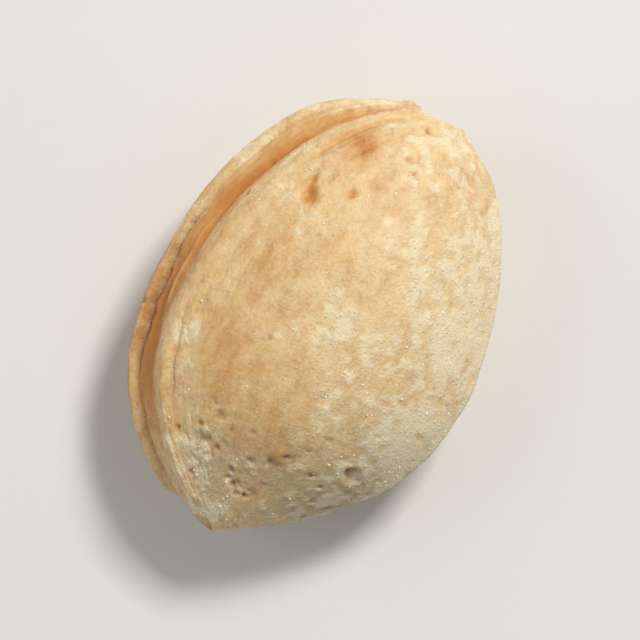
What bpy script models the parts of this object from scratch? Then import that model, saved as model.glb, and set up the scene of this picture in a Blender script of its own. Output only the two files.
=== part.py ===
"""A salted apricot kernel in its shell: one whole apricot stone, lying on one cheek.

Units are metres and +Z is up. The stone's length runs along X, from its blunt beak at -X to its stalk
end at +X. The keel, the thick edge with the long furrows, faces +Y, and the thin back edge faces -Y.
The origin is on the surface that the stone rests on, below the middle of the stone's box.

The stone starts as a sphere whose poles lie on X. Each of its points moves to a lens-shaped body, and
the body's surface then rises and falls by formula into the keel, the furrows, the ribs and the scar.
The points follow the folds, so that every ridge runs along a line of points.
"""

import math
from dataclasses import dataclass

import bmesh
import bpy
import numpy as np
from mathutils import Matrix, Vector, noise

MM = 0.001

# Driving dimensions
LENGTH = 26.0 * MM
KEEL_HALF_WIDTH = 8.95 * MM
BACK_HALF_WIDTH = 8.85 * MM
UPPER_HALF_THICKNESS = 5.9 * MM
LOWER_HALF_THICKNESS = 5.7 * MM
FLAT_SPOT_DEPTH = 0.22 * MM

# Mesh density: points round a section, and sections along the stone. This share of the points from the
# keel to the back lies in the keel zone, where the folds are.
POINTS_ROUND = 80
SECTIONS = 54
KEEL_ZONE = 7.0 * MM
KEEL_ZONE_SHARE = 0.65
BEAK_EVENNESS = 0.45
SECTION_STEPS = 90

# How fast the folds draw together where the sections grow smaller
CROWDING = 2.4


@dataclass(frozen=True)
class Taper:
    """How one half-width of the stone falls from its widest place to nothing at both ends."""

    reach: float
    widest_at: float
    stalk_exponent: float
    stalk_power: float
    beak_exponent: float
    beak_power: float

    def share(self, x):
        """The share of the full reach at x, from 1 at the widest place to 0 at the ends."""
        if x >= self.widest_at:
            along = (x - self.widest_at) / (LENGTH / 2 - self.widest_at)
            exponent, power = self.stalk_exponent, self.stalk_power
        else:
            along = (self.widest_at - x) / (self.widest_at + LENGTH / 2)
            exponent, power = self.beak_exponent, self.beak_power
        return max(0.0, 1 - along**exponent) ** power

    def at(self, x):
        """The half-width at x."""
        return self.reach * self.share(x)


KEEL_SIDE = Taper(KEEL_HALF_WIDTH, -0.3 * MM, 1.9, 0.47, 2.8, 0.76)
BACK_SIDE = Taper(BACK_HALF_WIDTH, 0.3 * MM, 1.4, 0.42, 2.6, 1.08)
UPPER_CHEEK = Taper(UPPER_HALF_THICKNESS, 0.9 * MM, 2.0, 0.5, 2.2, 0.78)
LOWER_CHEEK = Taper(LOWER_HALF_THICKNESS, 0.5 * MM, 2.0, 0.5, 2.2, 0.8)

# How blunt a section is at its two edges: 0.5 is an ellipse's edge, and more is sharper
KEEL_BLUNTNESS = 0.52
BACK_BLUNTNESS = 0.72


@dataclass(frozen=True)
class Fold:
    """A ridge, or a furrow where rise is negative, that runs beside the keel line.

    The distance is along the surface from the keel line at the stone's widest section, positive on the
    upper cheek, and shrinks with the sections. The fold fades in and out between its ends along X.
    """

    rise: float
    distance: float
    half_width: float
    starts_at: float
    ends_at: float
    fade_in: float
    fade_out: float

    def height(self, x, distance):
        """The fold's rise at x, at a distance from the keel line as the widest section has it."""
        across = (distance - self.distance) / self.half_width
        shown = smooth_step((x - self.starts_at) / self.fade_in)
        shown *= smooth_step((self.ends_at - x) / self.fade_out)
        return self.rise * math.exp(-across * across) * shown


def both_cheeks(upper_rise, lower_rise, distance, *shape):
    """A fold on the upper cheek and its twin on the lower one, a little different in height."""
    return Fold(upper_rise, distance, *shape), Fold(lower_rise, -distance, *shape)


# Each fold's rise, distance and half-width, then where along X it starts and ends and how long it fades.
# The keel ridge is thin towards the beak and broad towards the stalk end, with a wide furrow beside the
# thin stretch and a narrow one beside the broad stretch.
KEEL_BLADE = Fold(0.85 * MM, 0.0, 0.46 * MM, -12.15 * MM, 2.0 * MM, 0.5 * MM, 5.0 * MM)
KEEL_BAND = Fold(0.85 * MM, 0.0, 0.92 * MM, -3.0 * MM, 13.0 * MM, 5.0 * MM, 3.5 * MM)
WIDE_FURROWS = both_cheeks(
    -0.55 * MM, -0.52 * MM, 1.55 * MM, 0.78 * MM, -12.6 * MM, 2.5 * MM, 1.8 * MM, 5.5 * MM
)
THIN_FURROWS = both_cheeks(
    -0.55 * MM, -0.52 * MM, 2.25 * MM, 0.44 * MM, -3.5 * MM, 12.9 * MM, 5.0 * MM, 1.4 * MM
)
SHOULDERS = both_cheeks(
    0.45 * MM, 0.43 * MM, 3.4 * MM, 0.75 * MM, -12.9 * MM, 12.8 * MM, 2.5 * MM, 1.6 * MM
)
SHORT_FURROWS = both_cheeks(
    -0.33 * MM, -0.3 * MM, 4.6 * MM, 0.42 * MM, 3.6 * MM, 12.6 * MM, 4.4 * MM, 1.2 * MM
)
RIBS = both_cheeks(0.2 * MM, 0.22 * MM, 5.5 * MM, 0.6 * MM, 5.0 * MM, 12.6 * MM, 3.5 * MM, 1.2 * MM)
FOLDS = (
    KEEL_BLADE,
    KEEL_BAND,
    *WIDE_FURROWS,
    *THIN_FURROWS,
    *SHOULDERS,
    *SHORT_FURROWS,
    *RIBS,
)

# The scar where the fruit's stalk held the stone: a small pit with a flat floor inside a low lip
SCAR_FLOOR_RADIUS = 0.7 * MM
SCAR_RADIUS = 1.25 * MM
SCAR_DEPTH = 0.5 * MM
LIP_RADIUS = 1.6 * MM
LIP_HALF_WIDTH = 0.4 * MM
LIP_RISE = 0.26 * MM

# The slow swells of a grown surface
SWELL_RISE = 0.13 * MM
SWELL_SPAN = 6.0 * MM
SWELL_OFFSET = Vector((3.7, 1.9, 8.3))

SHELL_COLOUR = (0.62, 0.40, 0.19, 1.0)
SHELL_ROUGHNESS = 0.72
SHARP_ANGLE = math.radians(60)


def smooth_step(t):
    """0 below 0, 1 above 1, and a smooth rise between them."""
    t = min(1.0, max(0.0, t))
    return t * t * (3 - 2 * t)


def mix(a, b, share):
    """The value that lies this share of the way from a to b."""
    return a + (b - a) * share


def half_section(x, cheek):
    """The plain body's section at x over one cheek, from the keel line to the back edge.

    Returns its points' y, its points' heights above the edge's level, and their distances from the keel
    line along the section.
    """
    angles = np.linspace(0.0, np.pi, SECTION_STEPS)
    bluntness = mix(KEEL_BLUNTNESS, BACK_BLUNTNESS, (1 - np.cos(angles)) / 2)
    reach = np.where(np.cos(angles) > 0, KEEL_SIDE.at(x), BACK_SIDE.at(x))
    y = reach * np.cos(angles)
    z = cheek.at(x) * np.clip(np.sin(angles), 0.0, 1.0) ** (2 * bluntness)
    steps = np.hypot(np.diff(y), np.diff(z))
    return y, z, np.concatenate(([0.0], np.cumsum(steps)))


WIDEST_GIRTH = half_section(0.0, UPPER_CHEEK)[2][-1]


def crowding(girth):
    """How near the folds lie in a section of this girth, from 1 at the widest to 0 at the ends."""
    return (1 - math.exp(-CROWDING * girth / WIDEST_GIRTH)) / (1 - math.exp(-CROWDING))


def body_point(x, turn):
    """A point of the plain lens-shaped body.

    The turn round the section runs from 0 at the keel to pi or -pi at the back edge. Returns the point,
    how near the folds lie there, and its distance from the keel line as the widest section has it.
    """
    y, z, distances = half_section(x, UPPER_CHEEK if turn > 0 else LOWER_CHEEK)
    crowd = crowding(distances[-1])
    share = abs(turn) / math.pi
    if share < KEEL_ZONE_SHARE:
        distance = KEEL_ZONE * crowd * share / KEEL_ZONE_SHARE
    else:
        rest = (share - KEEL_ZONE_SHARE) / (1 - KEEL_ZONE_SHARE)
        distance = mix(KEEL_ZONE * crowd, distances[-1], rest)
    side = math.copysign(1, turn)
    point = Vector((x, np.interp(distance, distances, y), side * np.interp(distance, distances, z)))
    spread = side * distance / crowd if crowd else 0.0
    return point, crowd, spread


def relief(place, crowd, spread):
    """How far the finished surface stands out from the plain body at a place on it."""
    folds = sum(fold.height(place.x, spread) for fold in FOLDS)
    swell = SWELL_RISE * noise.noise(place / SWELL_SPAN + SWELL_OFFSET)
    return folds * math.sqrt(crowd) + swell + scar(place)


def scar(place):
    """The rise of the stalk scar's lip and the fall of its pit."""
    if place.x < 0:
        return 0.0
    radius = math.hypot(place.y, place.z)
    up_the_wall = (radius - SCAR_FLOOR_RADIUS) / (SCAR_RADIUS - SCAR_FLOOR_RADIUS)
    pit = -SCAR_DEPTH * (1 - smooth_step(up_the_wall))
    lip = LIP_RISE * math.exp(-(((radius - LIP_RADIUS) / LIP_HALF_WIDTH) ** 2))
    return pit + lip


def section_place(height):
    """Where along X a ring of the unit sphere goes, with rings spaced more evenly towards the beak."""
    if height < 0:
        height = mix(height, math.asin(max(-1.0, height)) / (math.pi / 2), BEAK_EVENNESS)
    return height * LENGTH / 2


def shape_stone(mesh):
    """Turns a unit sphere's points into the stone's, first the plain body and then its relief."""
    spots = [
        body_point(section_place(vertex.co.x), math.atan2(vertex.co.z, vertex.co.y))
        for vertex in mesh.verts
    ]
    for vertex, (place, _crowd, _spread) in zip(mesh.verts, spots):
        vertex.co = place
    mesh.normal_update()
    for vertex, spot in zip(mesh.verts, spots):
        vertex.co += vertex.normal * relief(*spot)


def press_flat_spot(mesh):
    """Lifts the lowest points of the lower cheek to one level, and makes the spot there one face."""
    level = min(vertex.co.z for vertex in mesh.verts) + FLAT_SPOT_DEPTH
    pressed = {vertex for vertex in mesh.verts if vertex.co.z <= level}
    for vertex in pressed:
        vertex.co.z = level
    inside = [face for face in mesh.faces if pressed.issuperset(face.verts)]
    bmesh.ops.dissolve_faces(mesh, faces=inside, use_verts=True)
    return level


def centre_on_origin(mesh, level):
    """Moves the stone so that the middle of its box is above the origin and its flat spot is at z = 0."""
    across = [vertex.co.x for vertex in mesh.verts]
    deep = [vertex.co.y for vertex in mesh.verts]
    middle = Vector(((min(across) + max(across)) / 2, (min(deep) + max(deep)) / 2, level))
    bmesh.ops.translate(mesh, verts=mesh.verts, vec=-middle)


def shell_material():
    """The stone's own tan, dull and dry under its salt."""
    material = bpy.data.materials.new("salted_shell")
    material.use_nodes = True
    surface = material.node_tree.nodes["Principled BSDF"]
    surface.inputs["Base Color"].default_value = SHELL_COLOUR
    surface.inputs["Roughness"].default_value = SHELL_ROUGHNESS
    surface.inputs["Metallic"].default_value = 0.0
    return material


def build_kernel():
    """The whole stone as one closed body."""
    mesh = bmesh.new()
    poles_on_x = Matrix.Rotation(math.pi / 2, 4, "Y")
    bmesh.ops.create_uvsphere(
        mesh, u_segments=POINTS_ROUND, v_segments=SECTIONS, radius=1.0, matrix=poles_on_x
    )
    shape_stone(mesh)
    centre_on_origin(mesh, press_flat_spot(mesh))
    data = bpy.data.meshes.new("apricot_kernel")
    mesh.to_mesh(data)
    mesh.free()
    data.shade_smooth()
    data.set_sharp_from_angle(angle=SHARP_ANGLE)
    data.materials.append(shell_material())
    kernel = bpy.data.objects.new("apricot_kernel", data)
    bpy.context.scene.collection.objects.link(kernel)
    return kernel


def clear_scene():
    """Removes what the startup scene holds."""
    for thing in list(bpy.data.objects):
        bpy.data.objects.remove(thing)


clear_scene()
build_kernel()
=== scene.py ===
"""Looks of a salted apricot kernel: one whole apricot stone in its shell, frosted with dried salt.

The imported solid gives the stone's size and place. The same lens-shaped body is made here with closer
points, a node tree raises its keel, furrows, wrinkles, pits and crust of salt, and a second tree
scatters grains of salt over it. Lengths in the classes are millimetres, and Blender's are metres.
"""

import logging
import math
from collections.abc import Mapping, Sequence
from dataclasses import dataclass
from enum import Enum
from typing import Any, Union

import bpy
import numpy as np
from mathutils import Matrix, Vector


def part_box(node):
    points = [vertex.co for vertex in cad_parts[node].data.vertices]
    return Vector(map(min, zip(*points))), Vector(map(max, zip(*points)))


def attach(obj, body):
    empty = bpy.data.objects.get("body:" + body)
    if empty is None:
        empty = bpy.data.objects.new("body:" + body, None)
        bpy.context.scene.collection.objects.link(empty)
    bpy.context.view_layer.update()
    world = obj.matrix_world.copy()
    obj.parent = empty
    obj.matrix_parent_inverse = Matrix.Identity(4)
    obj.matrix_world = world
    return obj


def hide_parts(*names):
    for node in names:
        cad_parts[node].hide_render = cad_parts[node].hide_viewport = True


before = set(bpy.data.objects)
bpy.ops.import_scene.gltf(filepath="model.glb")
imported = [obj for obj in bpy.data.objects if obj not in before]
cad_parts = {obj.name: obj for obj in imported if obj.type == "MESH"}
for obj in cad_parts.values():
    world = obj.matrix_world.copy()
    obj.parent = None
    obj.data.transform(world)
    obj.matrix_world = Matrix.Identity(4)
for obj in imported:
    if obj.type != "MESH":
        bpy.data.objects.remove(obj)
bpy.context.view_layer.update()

LOG = logging.getLogger("salted_apricot_kernel")
SOLID = "apricot_kernel"
BODY = "root"
MM = 0.001

SCREEN_KNEE = 0.04045
SCREEN_SLOPE = 12.92
SCREEN_OFFSET = 0.055
SCREEN_POWER = 2.4
BRIGHTEST = 255

Colour = tuple[float, float, float, float]
Stretch = tuple[float, float, float]
Number = Union["Field", float]


def display_colour(red: int, green: int, blue: int) -> Colour:
    """Turns a colour as a screen shows it into the linear values that a shader takes.

    Args:
        red: The screen's red, from 0 to 255.
        green: The screen's green, from 0 to 255.
        blue: The screen's blue, from 0 to 255.

    Returns:
        The linear colour, opaque.
    """
    shares = [channel / BRIGHTEST for channel in (red, green, blue)]
    linear = [
        share / SCREEN_SLOPE
        if share <= SCREEN_KNEE
        else ((share + SCREEN_OFFSET) / (1 + SCREEN_OFFSET)) ** SCREEN_POWER
        for share in shares
    ]
    return (*linear, 1.0)


class Field:
    """One output of a node, which sums take as they take a number.

    Each sum adds its Math node to the tree that the output belongs to.
    """

    def __init__(self, sheet: "Sheet", socket: bpy.types.NodeSocket) -> None:
        """Keeps the tree and the output."""
        self.sheet = sheet
        self.socket = socket

    def __add__(self, other: Number) -> "Field":
        """This plus the other."""
        return self.sheet.math("ADD", self, other)

    def __sub__(self, other: Number) -> "Field":
        """This less the other."""
        return self.sheet.math("SUBTRACT", self, other)

    def __rsub__(self, other: Number) -> "Field":
        """The other less this."""
        return self.sheet.math("SUBTRACT", other, self)

    def __mul__(self, other: Number) -> "Field":
        """This times the other."""
        return self.sheet.math("MULTIPLY", self, other)

    def __truediv__(self, other: Number) -> "Field":
        """This over the other."""
        return self.sheet.math("DIVIDE", self, other)

    def __rtruediv__(self, other: Number) -> "Field":
        """The other over this."""
        return self.sheet.math("DIVIDE", other, self)

    def __pow__(self, other: Number) -> "Field":
        """This to the power of the other."""
        return self.sheet.math("POWER", self, other)

    def __neg__(self) -> "Field":
        """This with its sign turned."""
        return self.sheet.math("MULTIPLY", self, -1.0)

    def __abs__(self) -> "Field":
        """This without its sign."""
        return self.sheet.math("ABSOLUTE", self)

    __radd__ = __add__
    __rmul__ = __mul__

    def at_least(self, low: Number) -> "Field":
        """The larger of this and a lower bound."""
        return self.sheet.math("MAXIMUM", self, low)

    def rise(self, start: float, end: float) -> "Field":
        """A smooth rise from 0 where this is at start to 1 where it is at end."""
        return self.sheet.field(
            "ShaderNodeMapRange",
            {"interpolation_type": "SMOOTHSTEP"},
            {"Value": self, "From Min": start, "From Max": end},
        )

    def bell(self, middle: Number, half_width: Number) -> "Field":
        """A smooth bump of height 1 where this is near the middle."""
        across = (self - middle) / half_width
        return self.sheet.math("EXPONENT", -(across * across))

    def scaled(self, share: Number) -> "Field":
        """This vector, longer or shorter by a share."""
        return self.sheet.field(
            "ShaderNodeVectorMath", {"operation": "SCALE"}, {0: self, "Scale": share}
        )

    def times(self, other: Sequence[float]) -> "Field":
        """This vector, each part times the same part of the other."""
        return self.sheet.field(
            "ShaderNodeVectorMath", {"operation": "MULTIPLY"}, {0: self, 1: other}
        )

    def plus(self, other: Union["Field", Sequence[float]]) -> "Field":
        """This vector plus another."""
        return self.sheet.field("ShaderNodeVectorMath", {"operation": "ADD"}, {0: self, 1: other})

    def parts(self) -> tuple["Field", "Field", "Field"]:
        """This vector's three parts."""
        node = self.sheet.node("ShaderNodeSeparateXYZ", {}, {0: self})
        return tuple(Field(self.sheet, socket) for socket in node.outputs)


class Sheet:
    """A node tree, of a material or of geometry, that code fills in."""

    def __init__(self, tree: bpy.types.NodeTree) -> None:
        """Keeps the tree to fill in."""
        self.tree = tree

    def node(
        self, kind: str, settings: Mapping[str, Any], values: Mapping[Any, Any]
    ) -> bpy.types.Node:
        """Adds a node.

        Args:
            kind: The node's type.
            settings: Its settings by name.
            values: A value or a Field for each of its inputs, by name or number.

        Returns:
            The new node.
        """
        made = self.tree.nodes.new(kind)
        for name, setting in settings.items():
            setattr(made, name, setting)
        self.feed(made, values)
        return made

    def feed(self, node: bpy.types.Node, values: Mapping[Any, Any]) -> None:
        """Gives a node's inputs what they hold: a Field is linked, and a plain value is set.

        Args:
            node: The node.
            values: A value or a Field for each input, by name or number.
        """
        for key, value in values.items():
            if isinstance(value, Field):
                self.tree.links.new(value.socket, node.inputs[key])
            else:
                node.inputs[key].default_value = value

    def field(
        self,
        kind: str,
        settings: Mapping[str, Any],
        values: Mapping[Any, Any],
        output: Union[int, str] = 0,
    ) -> Field:
        """Adds a node and gives one of its outputs, by name or number."""
        return Field(self, self.node(kind, settings, values).outputs[output])

    def math(self, operation: str, *values: Number) -> Field:
        """The result of one Math node."""
        return self.field("ShaderNodeMath", {"operation": operation}, dict(enumerate(values)))

    def mix(self, share: Number, first: Any, second: Any) -> Field:
        """A colour that goes from the first to the second as the share goes from 0 to 1."""
        return self.field("ShaderNodeMix", {"data_type": "RGBA"}, {0: share, 6: first, 7: second}, 2)

    def cells(self, place: Field, span: float, output: str = "Distance") -> Field:
        """The Distance, in spans, to the nearest of some scattered cell centres, or its own Color."""
        return self.field("ShaderNodeTexVoronoi", {}, {"Vector": place, "Scale": 1 / span}, output)


@dataclass(frozen=True)
class Zone:
    """A stretch of some measure, over which something comes in, or goes, up to its strength."""

    start: float
    end: float
    strength: float = 1.0

    def rise(self, measure: Field) -> Field:
        """Nothing before the stretch, and the whole strength beyond it."""
        return measure.rise(self.start, self.end) * self.strength

    def fall(self, measure: Field) -> Field:
        """The whole strength before the stretch, and nothing beyond it."""
        return (1 - measure.rise(self.start, self.end)) * self.strength


@dataclass(frozen=True)
class Band:
    """A band of some measure, round whose middle something has its strength."""

    middle: float
    half_width: float
    strength: float = 1.0

    def of(self, measure: Field) -> Field:
        """The strength in the band, fading smoothly to both sides."""
        return measure.bell(self.middle, self.half_width) * self.strength


@dataclass(frozen=True)
class Noise:
    """Soft noise from about -strength to strength, in swells that lie a span of millimetres apart.

    Detail tells how many finer noises lie on the first, and the layer sets it apart from the others.
    """

    LAYER_STEP = (17.3, 9.1, 5.7)
    ROUGHNESS = 0.55

    span: float
    detail: float
    layer: float
    strength: float = 1.0

    def at(self, place: Field) -> Field:
        """The noise at each place."""
        moved = place.plus([step * self.layer for step in self.LAYER_STEP])
        values = {"Vector": moved, "Scale": 1 / self.span, "Detail": self.detail}
        values["Roughness"] = self.ROUGHNESS
        return (place.sheet.field("ShaderNodeTexNoise", {}, values) * 2.0 - 1.0) * self.strength


@dataclass(frozen=True)
class Warp:
    """Noise that moves places about by up to its reach, so that what is read there has uneven edges."""

    DETAIL = 2.0
    MIDDLE = (-0.5, -0.5, -0.5)

    span: float
    reach: float

    def of(self, place: Field) -> Field:
        """The moved place."""
        values = {"Vector": place, "Scale": 1 / self.span, "Detail": self.DETAIL}
        pull = place.sheet.field("ShaderNodeTexNoise", {}, values, "Color").plus(self.MIDDLE)
        return place.plus(pull.scaled(2 * self.reach))


class Finish:
    """A finish, which dresses a new material of its own."""

    NAME = "finish"

    def material(self) -> bpy.types.Material:
        """Builds the finish's material.

        Returns:
            The material, dressed.
        """
        material = bpy.data.materials.new(self.NAME)
        material.use_nodes = True
        self.dress(Sheet(material.node_tree), material.node_tree.nodes["Principled BSDF"])
        return material

    def dress(self, sheet: Sheet, surface: bpy.types.Node) -> None:
        """Sets the material's shader, in each finish's own way."""
        raise NotImplementedError

    @staticmethod
    def place(sheet: Sheet) -> Field:
        """Each point's place on the piece, in millimetres."""
        return sheet.field("ShaderNodeTexCoord", {}, {}, "Object").scaled(1 / MM)


class GeometryTree(Sheet):
    """A geometry tree with named inputs, which turns one mesh into another."""

    SOCKETS = {float: "NodeSocketFloat", int: "NodeSocketInt", bpy.types.Material: "NodeSocketMaterial"}

    def __init__(self, name: str, inputs: Mapping[str, Any]) -> None:
        """Starts the tree with its inputs.

        Args:
            name: The tree's name.
            inputs: Each named input's value: a float, an int or a material.
        """
        super().__init__(bpy.data.node_groups.new(name, "GeometryNodeTree"))
        self.inputs = dict(inputs)
        self.tree.interface.new_socket("Geometry", in_out="INPUT", socket_type="NodeSocketGeometry")
        self.tree.interface.new_socket("Geometry", in_out="OUTPUT", socket_type="NodeSocketGeometry")
        for label, value in self.inputs.items():
            socket_type = self.SOCKETS[type(value)]
            self.tree.interface.new_socket(label, in_out="INPUT", socket_type=socket_type)
        self.entry = self.node("NodeGroupInput", {}, {})

    def given(self, label: str) -> Field:
        """One of the tree's named inputs."""
        return Field(self, self.entry.outputs[label])

    def start(self) -> Field:
        """The geometry that comes in."""
        return self.given("Geometry")

    def attribute(self, name: str) -> Field:
        """A number that the mesh keeps for each point."""
        settings = {"data_type": "FLOAT"}
        return self.field("GeometryNodeInputNamedAttribute", settings, {"Name": name})

    def keep(self, geometry: Field, name: str, value: Field) -> Field:
        """Keeps a number for each point of the geometry."""
        settings = {"data_type": "FLOAT", "domain": "POINT"}
        values = {"Geometry": geometry, "Name": name, "Value": value}
        return self.field("GeometryNodeStoreNamedAttribute", settings, values)

    def close(self, geometry: Field) -> None:
        """Ends the tree: realized, and with the finish that its input names."""
        real = self.field("GeometryNodeRealizeInstances", {}, {"Geometry": geometry})
        values = {"Geometry": real, "Material": self.given("Finish")}
        dressed = self.field("GeometryNodeSetMaterial", {}, values)
        self.node("NodeGroupOutput", {}, {"Geometry": dressed})

    def settle(self, source: bpy.types.Object, name: str) -> bpy.types.Object:
        """Runs the tree on an object.

        Args:
            source: The object that the tree starts from, left as it is.
            name: The new object's name.

        Returns:
            A new object whose plain mesh is the result.
        """
        modifier = source.modifiers.new(self.tree.name, "NODES")
        modifier.node_group = self.tree
        for item in self.tree.interface.items_tree:
            if item.in_out == "INPUT" and item.name in self.inputs:
                modifier[item.identifier] = self.inputs[item.name]
        depsgraph = bpy.context.evaluated_depsgraph_get()
        mesh = bpy.data.meshes.new_from_object(
            source.evaluated_get(depsgraph), preserve_all_data_layers=True, depsgraph=depsgraph
        )
        source.modifiers.remove(modifier)
        mesh.name = name
        piece = bpy.data.objects.new(name, mesh)
        bpy.context.scene.collection.objects.link(piece)
        return piece


class Cheek(Enum):
    """The stone's two broad faces, each with the sign of its heights."""

    UPPER = 1
    LOWER = -1


@dataclass(frozen=True)
class Taper:
    """How one half-width of the stone falls from its widest place to nothing at both ends."""

    reach: float
    widest_at: float
    stalk_exponent: float
    stalk_power: float
    beak_exponent: float
    beak_power: float

    def at(self, x: np.ndarray, half_length: float) -> np.ndarray:
        """The half-width at each x.

        Args:
            x: Places along the stone.
            half_length: Half of the stone's length.

        Returns:
            The half-widths there.
        """
        towards_stalk = np.clip((x - self.widest_at) / (half_length - self.widest_at), 0.0, 1.0)
        towards_beak = np.clip((self.widest_at - x) / (self.widest_at + half_length), 0.0, 1.0)
        stalk_share = (1 - towards_stalk**self.stalk_exponent) ** self.stalk_power
        beak_share = (1 - towards_beak**self.beak_exponent) ** self.beak_power
        return self.reach * stalk_share * beak_share


@dataclass(frozen=True)
class Fold:
    """A ridge, or a furrow where rise is negative, that runs beside the keel line on both cheeks.

    Its top is round at a power of 2, sharper at less and flatter at more. It drifts away from the keel
    line towards the stalk end.
    """

    DRIFT_STARTS = -6.0
    DRIFT_ENDS = 6.0

    rise: float
    distance: float
    half_width: float
    starts_at: float
    ends_at: float
    fade_in: float
    fade_out: float
    power: float = 2.0
    drift: float = 0.0

    def shown(self, x: Field) -> Field:
        """How much of the fold there is at each x, from 0 to 1."""
        begun = x.rise(self.starts_at, self.starts_at + self.fade_in)
        return begun * (1 - x.rise(self.ends_at - self.fade_out, self.ends_at))

    def profile(self, x: Field, line: Field) -> Field:
        """The fold's shape at each x and distance from the keel line, from 0 to 1."""
        middle = self.distance
        if self.drift:
            middle = x.rise(self.DRIFT_STARTS, self.DRIFT_ENDS) * self.drift + self.distance
        across = abs(line - middle) / self.half_width
        return line.sheet.math("EXPONENT", -(across**self.power)) * self.shown(x)

    def height(self, x: Field, line: Field) -> Field:
        """The fold's height at each x and distance from the keel line."""
        return self.profile(x, line) * self.rise


@dataclass(frozen=True)
class Stain:
    """A patch on the upper cheek with more salt than round it, or less where cover is negative."""

    x: float
    y: float
    radius: float
    cover: float

    def shown(self, place: tuple[Field, Field, Field]) -> Field:
        """The cover that the patch adds at each place."""
        across = (place[0] - self.x) / self.radius
        along = (place[1] - self.y) / self.radius
        return place[0].sheet.math("EXPONENT", -(across * across + along * along)) * self.cover


@dataclass(frozen=True)
class Blemish:
    """A pit, or a wart where depth is negative, at one place on the upper cheek."""

    FLOOR_ENDS = 0.35
    WALL_ENDS = 1.25
    RIM_LIES = 1.5
    RIM_WIDTH = 0.45

    x: float
    y: float
    radius: float
    depth: float
    rim: float = 0.0

    def distance(self, place: tuple[Field, Field, Field]) -> Field:
        """The distance from the blemish's middle, seen from above."""
        across = place[0] - self.x
        along = place[1] - self.y
        return place[0].sheet.math("SQRT", across * across + along * along)

    def hollow(self, distance: Field) -> Field:
        """How far inside the blemish each distance is, from 0 outside it to 1 on its floor."""
        return 1 - distance.rise(self.radius * self.FLOOR_ENDS, self.radius * self.WALL_ENDS)

    def height(self, distance: Field) -> Field:
        """The blemish's height at each distance from its middle."""
        rim = distance.bell(self.radius * self.RIM_LIES, self.radius * self.RIM_WIDTH) * self.rim
        return rim - self.hollow(distance) * self.depth


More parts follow.
